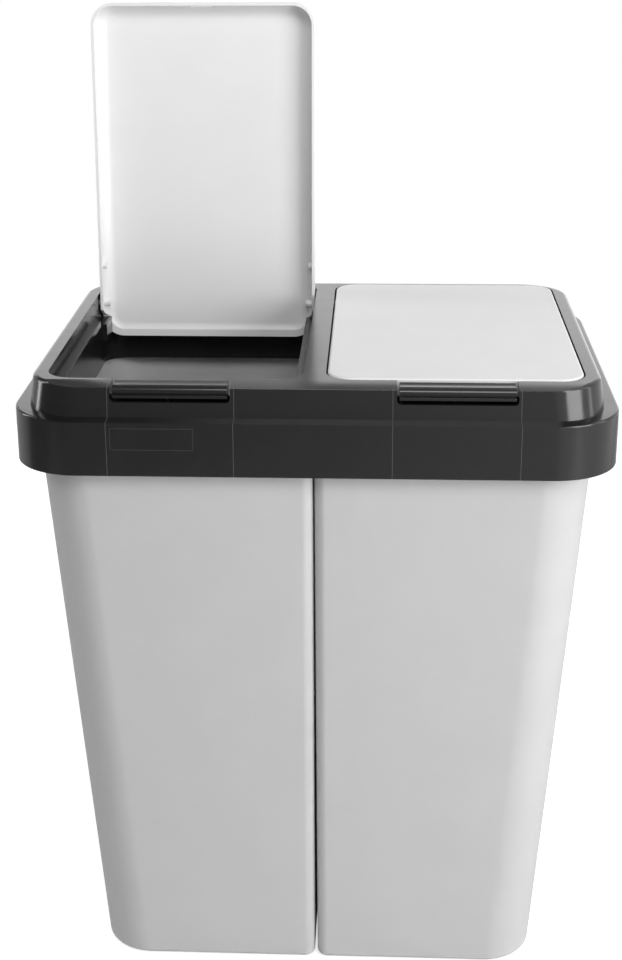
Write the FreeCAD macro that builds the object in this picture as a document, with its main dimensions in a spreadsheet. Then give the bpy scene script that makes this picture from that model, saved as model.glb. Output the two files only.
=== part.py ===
# Twin recycling bin: two tapered tubs standing side by side under one moulded
# collar, which carries two hinged flaps and two sprung push latches.
# Millimetres.  +Z is up, -Y is the front, the origin is on the floor under the
# middle of the collar.  The left flap rests open on its stops, the right one closed.
import FreeCAD, Part
import math
import os
import re
import Sketcher

DRIVING_SIZES = [
    # collar: outer skirt, shoulder and upper band
    ("collar_width", 430.0, "outside width over the skirt"),
    ("collar_depth", 324.0, "outside depth over the skirt"),
    ("rim_height", 487.0, "top of the collar above the floor"),
    ("collar_corner", 48.0, "plan radius of the skirt's corners"),
    ("skirt_drop", 62.5, "rim top down to the skirt's lower edge"),
    ("shoulder_drop", 22.5, "rim top down to the shoulder"),
    ("band_inset_side", 10.5, "shoulder width at the sides"),
    ("band_inset_front", 10.0, "shoulder width at the front"),
    ("band_inset_rear", 6.0, "shoulder width at the back"),
    ("band_corner", 37.0, "plan radius of the band's corners"),
    ("band_lean", 3.0, "how far the band leans in by the rim"),
    ("rim_fillet", 3.5, "rounding of the rim's outer edge"),
    ("rim_flat", 3.5, "level strip of the rim in front of a mouth"),
    ("rim_slope", 7.2, "degrees that the rim falls in front of that strip"),
    ("rim_plate", 3.4, "thickness of the rim's top"),
    ("shoulder_fall", 0.9, "how far the front shoulder falls to its edge"),
    ("shoulder_fillet", 1.6, "rounding of the shoulder's outer edge"),
    ("collar_wall", 2.5, "wall of the skirt, shoulder, band and rim"),
    # collar: mouths and the chutes below them
    ("bridge_width", 15.6, "solid rim between the two mouths"),
    ("rim_side", 24.2, "skirt face to mouth edge at the side"),
    ("rim_front", 30.0, "skirt face to mouth edge at the front"),
    ("rim_rear", 15.3, "skirt face to mouth edge at the back"),
    ("mouth_corner", 19.0, "plan radius of the mouth's corners"),
    ("chute_wall", 2.0, "wall round each mouth and its chute"),
    ("chute_knee", 18.0, "rim top down to where the chute starts to spread"),
    ("chute_drop", 64.0, "rim top down to the chute's lower edge"),
    ("chute_side_gap", 2.5, "chute to the tub's wall at the sides"),
    ("chute_end_gap", 9.0, "chute to the tub's wall at front and back"),
    # collar: seal channel that takes the closed flap's flange
    ("rail_drop", 13.5, "rim top down to the rail's top"),
    ("rail_height", 2.5, "rail above the channel's floor"),
    ("rail_width", 3.4, "rail's thickness"),
    ("channel_width", 3.8, "mouth wall to rail"),
    ("channel_length", 202.0, "mouth's front edge to where the rails end"),
    # tubs
    ("tub_top_width", 200.0, "half the pair's width at the tub's top"),
    ("tub_top_depth", 308.2, "tub's depth at its top"),
    ("tub_foot_width", 170.2, "half the pair's width at the floor"),
    ("tub_foot_depth", 248.3, "tub's depth at the floor"),
    ("tub_wall", 2.2, "wall of the tubs"),
    ("tub_corner", 38.0, "plan radius of a tub's outer corners"),
    ("tub_inner_corner", 8.0, "plan radius of the corners beside the other tub"),
    ("tub_foot_fillet", 5.0, "rounding of the tub's lower edge"),
    ("tub_top_gap", 0.6, "gap between the two tubs at their tops"),
    ("tub_foot_gap", 2.0, "gap between the two tubs at the floor"),
    ("foot_ring", 1.6, "height of the ring that a tub stands on"),
    ("foot_ring_start", 8.0, "tub's wall to the ring's outside"),
    ("foot_inset", 14.0, "tub's wall to the ring's inside"),
    ("flange_clearance", 1.0, "tub's top flange to the collar's skirt"),
    ("flange_thickness", 2.2, "tub's top flange"),
    ("flange_turn_down", 9.0, "height of the flange's turned-down edge"),
    ("seat_gap", 0.3, "clearance between parts that rest on each other"),
    ("stop_gap", 0.05, "clearance left at a moving part's stop"),
    # flaps
    ("flap_side_gap", 1.2, "flap to mouth edge at the sides"),
    ("flap_front_gap", 1.5, "flap to mouth edge at the front"),
    ("flap_rear_gap", 2.0, "flap to mouth edge at the back"),
    ("flap_proud", 1.0, "flap's top above the rim"),
    ("flap_wall", 2.2, "flap's skin and flanges"),
    ("flap_top_fillet", 1.6, "rounding of the flap's top edge"),
    ("flap_blend", 10.0, "inner blend between skin and flange"),
    ("flap_rear_lip", 4.5, "depth of the lip behind the pivot"),
    ("flap_end_slope", 7.0, "length of the flange's slanted end"),
    ("pivot_drop", 9.0, "rim top down to the flap's pivot"),
    ("pivot_setback", 31.7, "mouth's back edge to the flap's pivot"),
    ("open_angle", 93.25, "flap's travel from closed to its stops"),
    ("trunnion_diameter", 6.0, "flap's pivot pins"),
    ("trunnion_reach", 4.4, "pin length outside the flap"),
    ("trunnion_boss", 5.2, "boss behind the pin, inside the flap"),
    ("peg_setback", 32.0, "pivot forward to the peg inside each flange"),
    ("peg_radius", 2.8, "radius of those pegs"),
    ("peg_reach", 3.0, "peg's height above the flange"),
    ("slit_setback", 41.0, "pivot forward to the slit in each flange"),
    ("slit_length", 8.0, "length of those slits"),
    ("slit_height", 1.2, "height of those slits"),
    ("running_clearance", 0.08, "radial clearance of every pin in its bore"),
    ("bearing_boss", 2.2, "bearing boss behind the mouth's wall"),
    ("bearing_ring", 2.4, "wall round a bearing's bore"),
    # opening stops
    ("stop_reach", 8.5, "stop block's reach into the mouth"),
    ("stop_length", 28.5, "stop block's length, front to back"),
    ("stop_height", 14.0, "stop block's height"),
    ("stop_drop", 13.0, "pivot down to the stop block's top"),
    # latches
    ("notch_width", 84.0, "notch in the band that holds a latch"),
    ("notch_drop", 12.0, "rim top down to the notch's lip"),
    ("notch_corner", 3.0, "rounding of the notch's lower corners"),
    ("notch_shift", 0.6, "latch's offset from the flap's middle, outwards"),
    ("latch_gap", 1.75, "latch to notch at each end"),
    ("latch_rear_gap", 2.3, "latch's back to the mouth's edge"),
    ("latch_front_inset", 11.5, "skirt face to the latch's front"),
    ("latch_top_drop", 0.5, "rim top down to the latch's top"),
    ("latch_wall", 2.0, "latch's skin"),
    ("latch_nose", 4.8, "rim top down to the latch's finger groove"),
    ("latch_nose_fillet", 3.9, "rounding of the latch's front edge"),
    ("latch_groove", 2.0, "height of the finger groove"),
    ("latch_groove_depth", 2.4, "depth of the finger groove"),
    ("latch_bar", 2.2, "height of the bar below the groove"),
    ("latch_back", 11.5, "height of the latch's back wall"),
    ("grip_radius", 1.5, "radius of the grip groove's tool"),
    ("grip_depth", 0.7, "depth of the grip groove"),
    ("grip_setback", 4.3, "latch's front to the grip groove"),
    ("dish_radius", 24.0, "radius of the dished thumb rest"),
    ("dish_depth", 0.6, "depth of the thumb rest"),
    ("dish_setback", 6.4, "latch's back to the thumb rest's middle"),
    ("latch_pivot_drop", 17.0, "rim top down to the latch's pivot"),
    ("latch_pivot_setback", 8.0, "mouth's front edge to the latch's pivot"),
    ("latch_pin_diameter", 4.0, "latch's pivot pins"),
    ("latch_pin_hold", 1.6, "how far a latch's pin enters its bore"),
    ("latch_ear", 4.0, "radius of the ear round a latch's pin"),
    ("latch_travel", 10.0, "degrees that a latch tips when pressed"),
    ("pocket_wall", 2.0, "walls and floor of the latch's pocket"),
    ("pocket_drop", 21.5, "rim top down to the pocket's floor"),
    ("nose_drop", 9.4, "rim top down to the catch nose's underside"),
    ("nose_width", 15.0, "latch's catch nose"),
    ("nose_thickness", 2.0, "height of the catch nose"),
    ("nose_hold", 1.3, "how far the nose reaches into the flap"),
    ("window_clearance", 1.5, "flap's catch window beside the nose"),
    # latch springs
    ("spring_diameter", 5.0, "spring's mean diameter"),
    ("spring_wire", 0.7, "spring's wire"),
    ("spring_turns", 5.0, "turns of a spring"),
    ("spring_setback", 10.9, "mouth's front edge to the spring's axis"),
    ("spring_stud", 1.6, "radius of the studs inside the spring's ends"),
    ("spring_stud_height", 2.5, "height of those studs"),
]
ALIASES = {name for name, _, _ in DRIVING_SIZES}
SIDES = (("left", -1), ("right", 1))

document = FreeCAD.newDocument("twin_recycling_bin")
sheet = document.addObject("Spreadsheet::Sheet", "sizes")
for row, (alias, number, note) in enumerate(DRIVING_SIZES, start=1):
    sheet.set(f"A{row}", alias)
    sheet.set(f"B{row}", str(number))
    sheet.set(f"C{row}", note)
    sheet.setAlias(f"B{row}", alias)
document.recompute()


# Places that several parts share, written in the sheet's words.

RIM = "rim_height"
BAND_FOOT = "rim_height - shoulder_drop"
MOUTH_OUTER = "(collar_width / 2 - rim_side)"
MOUTH_INNER = "(bridge_width / 2)"
MOUTH_MIDDLE = f"(({MOUTH_OUTER} + {MOUTH_INNER}) / 2)"
MOUTH_WIDTH = f"({MOUTH_OUTER} - {MOUTH_INNER})"
MOUTH_FRONT = "(rim_front - collar_depth / 2)"
MOUTH_REAR = "(collar_depth / 2 - rim_rear)"
PIVOT_Y = f"({MOUTH_REAR} - pivot_setback)"
PIVOT_Z = "(rim_height - pivot_drop)"
CHUTE_KNEE = "(rim_height - chute_knee)"
CHUTE_FOOT = "(rim_height - chute_drop)"
TUB_TOP = "(rim_height - shoulder_drop - collar_wall - seat_gap)"
TUB_SHARE = f"({CHUTE_FOOT} / {TUB_TOP})"
TUB_WIDTH_AT_CHUTE = f"(tub_foot_width + (tub_top_width - tub_foot_width) * {TUB_SHARE})"
TUB_DEPTH_AT_CHUTE = f"(tub_foot_depth + (tub_top_depth - tub_foot_depth) * {TUB_SHARE})"
TUB_GAP_AT_CHUTE = f"(tub_foot_gap + (tub_top_gap - tub_foot_gap) * {TUB_SHARE})"
LATCH_X = f"({MOUTH_MIDDLE} + notch_shift)"
LATCH_WIDTH = "(notch_width - 2 * latch_gap)"
LATCH_PIVOT_Y = f"({MOUTH_FRONT} - latch_pivot_setback)"
LATCH_PIVOT_Z = "(rim_height - latch_pivot_drop)"
NOSE_FOOT = "(pivot_drop - nose_drop)"
NOSE_REACH = "(latch_pivot_setback + flap_front_gap + nose_hold)"
WINDOW_HEIGHT = f"(nose_thickness + 2 * seat_gap + {NOSE_REACH} * sin(latch_travel))"
SPRING_Y = f"({MOUTH_FRONT} - spring_setback)"


def in_cells(expression):
    """Point each of the sheet's words in an expression at its cell."""
    return re.sub(r"[a-z_]+", lambda word: f"sizes.{word[0]}" if word[0] in ALIASES else word[0],
                  expression)


def number_of(expression):
    """Work out an expression as a plain number."""
    return float(sheet.evalExpression(expression))


def bind(target, prop, expression):
    """Tie one property of an object to the sheet."""
    target.setExpression(prop, in_cells(expression))


def new_body(label, x_place="0", y_place="0", z_place="0"):
    """Start a named body whose own origin lies at the given place."""
    body = document.addObject("PartDesign::Body", label)
    body.Label = label
    for axis, place in zip("xyz", (x_place, y_place, z_place)):
        bind(body, f".Placement.Base.{axis}", place)
    return body


def new_sketch(body, plane, name, offset="0"):
    """Add an empty sketch on one of the body's own planes, shifted along its normal."""
    sketch = body.newObject("Sketcher::SketchObject", name)
    support = [item for item in body.Origin.OriginFeatures if item.Role == plane]
    sketch.AttachmentSupport = (support[0], [""])
    sketch.MapMode = "FlatFace"
    bind(sketch, ".AttachmentOffset.Base.z", offset)
    return sketch


def set_length(sketch, constraint, expression):
    """Add a dimension to a sketch and tie its value to the sheet."""
    index = sketch.addConstraint(constraint)
    bind(sketch, f"Constraints[{index}]", expression)


def place_point(sketch, shape, end, x_place, y_place):
    """Fix one end of a sketch line by its distances from the sketch's origin."""
    for kind, place in (("DistanceX", x_place), ("DistanceY", y_place)):
        if place is not None:
            constraint = Sketcher.Constraint(kind, -1, 1, shape, end, number_of(place))
            set_length(sketch, constraint, place)


def add_rounded_outline(sketch, left, right, front, rear, radii):
    """Draw a rectangle with rounded corners; radii run left-front, right-front, ..."""
    x_low, x_high, y_low, y_high = (number_of(side) for side in (left, right, front, rear))
    size = [number_of(radius) for radius in radii]
    z_axis = FreeCAD.Vector(0, 0, 1)
    corners = (
        (x_low + size[0], y_low + size[0]),
        (x_high - size[1], y_low + size[1]),
        (x_high - size[2], y_high - size[2]),
        (x_low + size[3], y_high - size[3]),
    )
    first = sketch.GeometryCount
    ends = []
    for index, (x_centre, y_centre) in enumerate(corners):
        start = math.pi + index * math.pi / 2
        circle = Part.Circle(FreeCAD.Vector(x_centre, y_centre, 0), z_axis, size[index])
        sketch.addGeometry(Part.ArcOfCircle(circle, start, start + math.pi / 2))
        reach = [FreeCAD.Vector(math.cos(turn), math.sin(turn), 0) * size[index]
                 for turn in (start, start + math.pi / 2)]
        centre = FreeCAD.Vector(x_centre, y_centre, 0)
        ends.append((centre + reach[0], centre + reach[1]))
    for index in range(4):
        sketch.addGeometry(Part.LineSegment(ends[index][1], ends[(index + 1) % 4][0]))
    for index in range(4):
        line = first + 4 + index
        following = first + (index + 1) % 4
        sketch.addConstraint(Sketcher.Constraint("Tangent", first + index, 2, line, 1))
        sketch.addConstraint(Sketcher.Constraint("Tangent", line, 2, following, 1))
        direction = "Horizontal" if index % 2 == 0 else "Vertical"
        sketch.addConstraint(Sketcher.Constraint(direction, line))
        radius = Sketcher.Constraint("Radius", first + index, size[index])
        set_length(sketch, radius, radii[index])
    place_point(sketch, first + 4, 1, None, front)
    place_point(sketch, first + 5, 1, right, None)
    place_point(sketch, first + 6, 1, None, rear)
    place_point(sketch, first + 7, 1, left, None)


def add_outline(sketch, points):
    """Draw a closed outline of straight lines through points given as expressions."""
    places = [FreeCAD.Vector(number_of(x), number_of(y), 0) for x, y in points]
    first = sketch.GeometryCount
    for index, place in enumerate(places):
        sketch.addGeometry(Part.LineSegment(place, places[(index + 1) % len(places)]))
    for index, (x_place, y_place) in enumerate(points):
        following = first + (index + 1) % len(points)
        sketch.addConstraint(Sketcher.Constraint("Coincident", first + index, 2, following, 1))
        place_point(sketch, first + index, 1, x_place, y_place)


def add_circle(sketch, x_place, y_place, radius):
    """Draw a circle whose centre and radius come from the sheet."""
    centre = FreeCAD.Vector(number_of(x_place), number_of(y_place), 0)
    circle = Part.Circle(centre, FreeCAD.Vector(0, 0, 1), number_of(radius))
    shape = sketch.addGeometry(circle)
    set_length(sketch, Sketcher.Constraint("Radius", shape, number_of(radius)), radius)
    place_point(sketch, shape, 3, x_place, y_place)


def pad(body, sketch, name, length, both_ways=False, backwards=False):
    """Add material along the sketch's normal."""
    feature = body.newObject("PartDesign::Pad", name)
    feature.Profile = sketch
    feature.Midplane = both_ways
    feature.Reversed = backwards
    bind(feature, "Length", length)
    return feature


def pocket(body, sketch, name, length, both_ways=False, backwards=False):
    """Remove material against the sketch's normal, or along it when backwards."""
    feature = body.newObject("PartDesign::Pocket", name)
    feature.Profile = sketch
    feature.Midplane = both_ways
    feature.Reversed = backwards
    bind(feature, "Length", length)
    return feature


def loft(body, kind, lower, upper, name):
    """Blend one outline into another, adding or removing material."""
    feature = body.newObject(f"PartDesign::{kind}Loft", name)
    feature.Profile = lower
    feature.Sections = [upper]
    feature.Ruled = True
    return feature


def edges_where(feature, test):
    """Name the edges of a feature whose bounding box passes a test."""
    document.recompute()
    return [f"Edge{index}" for index, edge in enumerate(feature.Shape.Edges, start=1)
            if test(edge.BoundBox)]


def fillet(body, feature, test, radius, name):
    """Round the edges of a feature that pass a test."""
    edges = edges_where(feature, test)
    rounding = body.newObject("PartDesign::Fillet", name)
    rounding.Base = (feature, edges)
    bind(rounding, "Radius", radius)
    return rounding


def signed(side, inner, outer):
    """Order two distances from the middle as left and right on the given side."""
    if side > 0:
        return inner, outer
    return f"-({outer})", f"-({inner})"


def by_side(side, inner_corner, outer_corner):
    """Order corner radii round an outline, with the inner pair towards the middle."""
    if side > 0:
        return (inner_corner, outer_corner, outer_corner, inner_corner)
    return (outer_corner, inner_corner, inner_corner, outer_corner)


def flat_at(height):
    """Make a test for level edges at one height."""
    level = number_of(height)
    return lambda box: abs(box.ZMin - level) < 1e-4 and abs(box.ZMax - level) < 1e-4


# --- tubs -------------------------------------------------------------------

def make_tub(label, side):
    """Make one tub: a tapered shell with a foot ring and a turned-down flange."""
    body = new_body(label)
    front_view = new_sketch(body, "XZ_Plane", "front_view")
    low = signed(side, "tub_foot_gap / 2", "tub_foot_width")
    high = signed(side, "tub_top_gap / 2", "tub_top_width")
    add_outline(front_view, ((low[0], "foot_ring"), (low[1], "foot_ring"), (high[1], TUB_TOP),
                             (high[0], TUB_TOP)))
    pad(body, front_view, "block", "tub_top_depth", both_ways=True)
    side_view = new_sketch(body, "YZ_Plane", "side_view")
    for sign in ("-", ""):
        foot = f"{sign}(tub_foot_depth / 2)"
        top = f"{sign}(tub_top_depth / 2)"
        beyond = f"{sign}(tub_top_depth / 2 + tub_wall)"
        add_outline(side_view, ((foot, "foot_ring"), (top, TUB_TOP), (beyond, TUB_TOP),
                                (beyond, "foot_ring")))
    block = pocket(body, side_view, "end_tapers", "3 * tub_top_width", both_ways=True)
    block = fillet(body, block, upright(side, True), "tub_corner", "outer_corners")
    block = fillet(body, block, upright(side, False), "tub_inner_corner", "inner_corners")
    block = fillet(body, block, flat_at("foot_ring"), "tub_foot_fillet", "foot_rounding")
    document.recompute()
    open_top = [f"Face{index}" for index, face in enumerate(block.Shape.Faces, start=1)
                if flat_at(TUB_TOP)(face.BoundBox)]
    shell = body.newObject("PartDesign::Thickness", "shell")
    shell.Base = (block, open_top)
    shell.Reversed = True
    shell.Join = "Intersection"
    bind(shell, "Value", "tub_wall")
    add_flange(body, side)
    foot = new_sketch(body, "XY_Plane", "foot_ring_outline")
    for inset in ("foot_ring_start", "foot_inset"):
        left, right = signed(side, f"tub_foot_gap / 2 + {inset}", f"tub_foot_width - {inset}")
        end = f"(tub_foot_depth / 2 - {inset})"
        add_rounded_outline(foot, left, right, f"-{end}", end,
                            by_side(side, "tub_wall", f"tub_corner - {inset}"))
    pad(body, foot, "foot_ring", "foot_ring + tub_wall / 2")
    return body


def upright(side, outer):
    """Make a test for a tub's straight corner edges, at its outer or its inner wall."""
    height = number_of(TUB_TOP) / 2
    middle = number_of("tub_foot_width / 2")

    def test(box):
        """Pick long edges on the asked side of the tub's middle."""
        return box.ZMax - box.ZMin > height and (side * box.Center.x > middle) == outer

    return test


def add_flange(body, side):
    """Add the rim flange that the collar rests on, and its turned-down edge."""
    inner_side = "(tub_top_gap / 2 + tub_wall / 2)"
    reach = "(collar_wall + flange_clearance)"
    for name, drop, outer, end, corner in (
            ("flange_plate", "flange_thickness", "tub_top_width - tub_wall / 2",
             "(tub_top_depth / 2 - tub_wall / 2)", "tub_corner - tub_wall / 2"),
            ("turned_down_edge", "flange_turn_down", f"collar_width / 2 - {reach} - tub_wall",
             f"(collar_depth / 2 - {reach} - tub_wall)", f"collar_corner - {reach} - tub_wall")):
        sketch = new_sketch(body, "XY_Plane", f"{name}_outline", f"{TUB_TOP} - {drop}")
        left, right = signed(side, inner_side, f"collar_width / 2 - {reach}")
        outside = f"(collar_depth / 2 - {reach})"
        add_rounded_outline(sketch, left, right, f"-{outside}", outside,
                            by_side(side, "tub_inner_corner", f"collar_corner - {reach}"))
        left, right = signed(side, f"{inner_side} + tub_wall * 0.45", outer)
        add_rounded_outline(sketch, left, right, f"-{end}", end,
                            by_side(side, "tub_inner_corner - tub_wall", corner))
        pad(body, sketch, name, drop)


# --- collar -----------------------------------------------------------------

def skirt_outline(body, name, inset):
    """Sketch the skirt's plan at its lower edge, moved in by a wall."""
    sketch = new_sketch(body, "XY_Plane", name, "rim_height - skirt_drop")
    half_width = f"(collar_width / 2 - {inset})"
    half_depth = f"(collar_depth / 2 - {inset})"
    add_rounded_outline(sketch, f"-{half_width}", half_width, f"-{half_depth}", half_depth,
                        (f"collar_corner - {inset}",) * 4)
    return sketch


def band_outline(body, name, level, inset):
    """Sketch the band's plan at one level, moved in from its face at the foot."""
    sketch = new_sketch(body, "XY_Plane", name, level)
    half_width = f"(collar_width / 2 - band_inset_side - ({inset}))"
    front = f"(band_inset_front + {inset} - collar_depth / 2)"
    rear = f"(collar_depth / 2 - band_inset_rear - ({inset}))"
    add_rounded_outline(sketch, f"-{half_width}", half_width, front, rear, ("band_corner",) * 4)
    return sketch


def mouth_outline(body, name, side, level, grow="0", rear=None):
    """Sketch a mouth's plan at one level, grown outwards by a wall."""
    sketch = new_sketch(body, "XY_Plane", name, level)
    left, right = signed(side, f"{MOUTH_INNER} - ({grow})", f"{MOUTH_OUTER} + ({grow})")
    radius = f"mouth_corner + ({grow})"
    add_rounded_outline(sketch, left, right, f"{MOUTH_FRONT} - ({grow})",
                        rear or f"{MOUTH_REAR} + ({grow})", (radius,) * 4)
    return sketch


def chute_foot_outline(body, name, side, grow):
    """Sketch a chute's lower edge, which stays inside the tub."""
    sketch = new_sketch(body, "XY_Plane", name, CHUTE_FOOT)
    inner = f"{TUB_GAP_AT_CHUTE} / 2 + tub_wall + chute_side_gap + chute_wall - ({grow})"
    outer = f"{TUB_WIDTH_AT_CHUTE} - tub_wall - chute_side_gap - chute_wall + ({grow})"
    left, right = signed(side, inner, outer)
    end = f"({TUB_DEPTH_AT_CHUTE} / 2 - tub_wall - chute_end_gap - chute_wall + ({grow}))"
    add_rounded_outline(sketch, left, right, f"-{end}", end, (f"mouth_corner + ({grow})",) * 4)
    return sketch


def make_collar_shell(body):
    """Make the skirt, the shoulder and the leaning band as one open shell."""
    block = pad(body, skirt_outline(body, "skirt_outline", "0"), "skirt_block",
                "skirt_drop - shoulder_drop")
    fillet(body, block, flat_at(BAND_FOOT), "shoulder_fillet", "shoulder_rounding")
    band = loft(body, "Additive", band_outline(body, "band_foot_outline", BAND_FOOT, "0"),
                band_outline(body, "band_top_outline", RIM, "band_lean"), "band_block")
    fillet(body, band, flat_at(RIM), "rim_fillet", "rim_rounding")
    # The rim and the shoulder fall gently towards the front.
    for name, level, start, fall in (
            ("shoulder", BAND_FOOT, "(band_inset_front - collar_depth / 2)", "shoulder_fall"),
            ("rim", RIM, f"({MOUTH_FRONT} - rim_flat)", "(rim_front - rim_flat) * tan(rim_slope)")):
        slope = new_sketch(body, "YZ_Plane", f"{name}_slope_outline")
        front = "(-collar_depth / 2)"
        above = f"({level} + collar_wall)"
        add_outline(slope, ((start, level), (front, f"{level} - {fall}"), (front, above),
                            (start, above)))
        pocket(body, slope, f"{name}_slope", "collar_width", both_ways=True)
    pocket(body, skirt_outline(body, "skirt_hollow_outline", "collar_wall"), "skirt_hollow",
           "skirt_drop - shoulder_drop - collar_wall", backwards=True)
    lower = band_outline(body, "band_hollow_foot", f"{BAND_FOOT} - collar_wall", "collar_wall")
    upper = band_outline(body, "band_hollow_top", f"{RIM} - rim_plate",
                         "(collar_wall + band_lean)")
    loft(body, "Subtractive", lower, upper, "band_hollow")


def make_mouth(body, name, side):
    """Make one mouth: its wall, chute, seal channel, rails, bearings and stops."""
    wall_height = "chute_knee - rim_plate / 2"
    wall = mouth_outline(body, f"{name}_wall_outline", side, CHUTE_KNEE, "chute_wall")
    pad(body, wall, f"{name}_mouth_block", wall_height)
    loft(body, "Additive", chute_foot_outline(body, f"{name}_chute_foot", side, "chute_wall"),
         mouth_outline(body, f"{name}_chute_top", side, CHUTE_KNEE, "chute_wall"),
         f"{name}_chute_block")
    add_bearing_bosses(body, name, side)
    # The mouth is cut down to the rails, the throat and the channel then leave the ledge.
    opening = mouth_outline(body, f"{name}_mouth_outline", side, RIM)
    pocket(body, opening, f"{name}_mouth_cut", "rail_drop")
    rail_level = "rim_height - rail_drop"
    ledge_reach = "channel_width + rail_width"
    rails_end = f"({MOUTH_FRONT} + channel_length)"
    throat = new_sketch(body, "XY_Plane", f"{name}_throat_outline", rail_level)
    left, right = signed(side, f"{MOUTH_INNER} + {ledge_reach}", f"{MOUTH_OUTER} - ({ledge_reach})")
    radius = f"mouth_corner - ({ledge_reach})"
    add_rounded_outline(throat, left, right, f"{MOUTH_FRONT} + {ledge_reach}", MOUTH_REAR,
                        (radius,) * 4)
    pocket(body, throat, f"{name}_throat_cut", "chute_knee - rail_drop")
    bay = new_sketch(body, "XY_Plane", f"{name}_hinge_bay_outline", rail_level)
    left, right = signed(side, MOUTH_INNER, MOUTH_OUTER)
    corner = ("rail_width", "rail_width", "mouth_corner", "mouth_corner")
    add_rounded_outline(bay, left, right, rails_end, MOUTH_REAR, corner)
    pocket(body, bay, f"{name}_hinge_bay_cut", "chute_knee - rail_drop")
    channel = mouth_outline(body, f"{name}_channel_outline", side, rail_level)
    left, right = signed(side, f"{MOUTH_INNER} + channel_width", f"{MOUTH_OUTER} - channel_width")
    radius = "mouth_corner - channel_width"
    add_rounded_outline(channel, left, right, f"{MOUTH_FRONT} + channel_width",
                        f"{MOUTH_REAR} - channel_width", (radius,) * 4)
    pocket(body, channel, f"{name}_channel_cut", "rail_height")
    loft(body, "Subtractive", chute_foot_outline(body, f"{name}_chute_hollow_foot", side, "0"),
         mouth_outline(body, f"{name}_chute_hollow_top", side, CHUTE_KNEE),
         f"{name}_chute_hollow")
    add_stops(body, name, side)
    bore = new_sketch(body, "YZ_Plane", f"{name}_bearing_bore_outline", signed_middle(side))
    add_circle(bore, PIVOT_Y, PIVOT_Z, "trunnion_diameter / 2 + running_clearance")
    pocket(body, bore, f"{name}_bearing_bores",
           f"{MOUTH_WIDTH} + 2 * (chute_wall + bearing_boss)", both_ways=True)


def signed_middle(side):
    """Give the place of a mouth's middle along X."""
    return MOUTH_MIDDLE if side > 0 else f"-{MOUTH_MIDDLE}"


def add_bearing_bosses(body, name, side):
    """Add the round bosses behind a mouth's wall that carry the flap's pins."""
    for where, start in (("inner", f"{MOUTH_INNER} - chute_wall - bearing_boss"),
                         ("outer", f"{MOUTH_OUTER} + chute_wall")):
        low, _ = signed(side, start, f"{start} + bearing_boss")
        sketch = new_sketch(body, "YZ_Plane", f"{name}_{where}_boss_outline", low)
        add_circle(sketch, PIVOT_Y, PIVOT_Z, "trunnion_diameter / 2 + bearing_ring")
        pad(body, sketch, f"{name}_{where}_boss", "bearing_boss")


def add_stops(body, name, side):
    """Add the two blocks that the open flap's back lip leans on."""
    top = f"({PIVOT_Z} - stop_drop)"
    foot = f"({top} - stop_height)"
    # The rear face is parallel to the open flap's back lip and one stop gap in front of it.
    lip = "(pivot_drop + flap_proud - flap_rear_lip - stop_gap)"
    lean = "(open_angle - 90)"
    rear_top = f"({PIVOT_Y} + {lip} / cos({lean}) - stop_drop * tan({lean}))"
    rear_foot = f"({rear_top} - stop_height * tan({lean}))"
    front = f"({PIVOT_Y} + {lip} - stop_length)"
    for where, start, length in (
            ("inner", f"{MOUTH_INNER} - chute_wall / 2", "stop_reach + chute_wall / 2"),
            ("outer", f"{MOUTH_OUTER} - stop_reach", "stop_reach + chute_wall / 2")):
        low, _ = signed(side, start, f"{start} + {length}")
        sketch = new_sketch(body, "YZ_Plane", f"{name}_{where}_stop_outline", low)
        add_outline(sketch, ((front, foot), (rear_foot, foot), (rear_top, top), (front, top)))
        pad(body, sketch, f"{name}_{where}_stop", length)


def add_latch_pocket(body, name, side):
    """Cut the notch for a latch and line it with a walled pocket."""
    middle = LATCH_X if side > 0 else f"-{LATCH_X}"
    band_face = "(band_inset_front + pocket_wall - collar_depth / 2)"
    lining = new_sketch(body, "YZ_Plane", f"{name}_lining_outline", middle)
    foot = "(rim_height - pocket_drop - pocket_wall)"
    top = "(rim_height - rim_plate + pocket_wall / 4)"
    front = f"({band_face} - pocket_wall / 2)"
    rear = f"({MOUTH_FRONT} - chute_wall / 2)"
    add_outline(lining, ((front, foot), (rear, foot), (rear, top),
                         (f"{front} + band_lean", top)))
    pad(body, lining, f"{name}_lining", "notch_width + 2 * pocket_wall", both_ways=True)
    hollow = new_sketch(body, "XY_Plane", f"{name}_pocket_outline", RIM)
    low = f"({middle} - notch_width / 2)"
    high = f"({middle} + notch_width / 2)"
    inside_front = f"({band_face} + band_lean)"
    inside_rear = f"({MOUTH_FRONT} - chute_wall)"
    add_outline(hollow, ((low, inside_front), (high, inside_front), (high, inside_rear),
                         (low, inside_rear)))
    pocket(body, hollow, f"{name}_pocket", "pocket_drop")
    notch = new_sketch(body, "XZ_Plane", f"{name}_notch_outline", "collar_depth / 2")
    add_rounded_outline(notch, low, high, "(rim_height - notch_drop)",
                        "(rim_height + 2 * notch_corner)", ("notch_corner",) * 4)
    pocket(body, notch, f"{name}_notch", "rim_front")
    stud = new_sketch(body, "XY_Plane", f"{name}_stud_outline", "rim_height - pocket_drop")
    add_circle(stud, middle, SPRING_Y, "spring_stud")
    pad(body, stud, f"{name}_spring_stud", "spring_stud_height")
    bore = new_sketch(body, "YZ_Plane", f"{name}_latch_bore_outline", middle)
    add_circle(bore, LATCH_PIVOT_Y, LATCH_PIVOT_Z, "latch_pin_diameter / 2 + running_clearance")
    pocket(body, bore, f"{name}_latch_bores", "notch_width + 4 * pocket_wall", both_ways=True)


def make_collar():
    """Make the one-piece collar with its two mouths and latch pockets."""
    body = new_body("collar")
    make_collar_shell(body)
    for name, side in SIDES:
        make_mouth(body, name, side)
        add_latch_pocket(body, name, side)
    return body


# --- flaps ------------------------------------------------------------------

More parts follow.
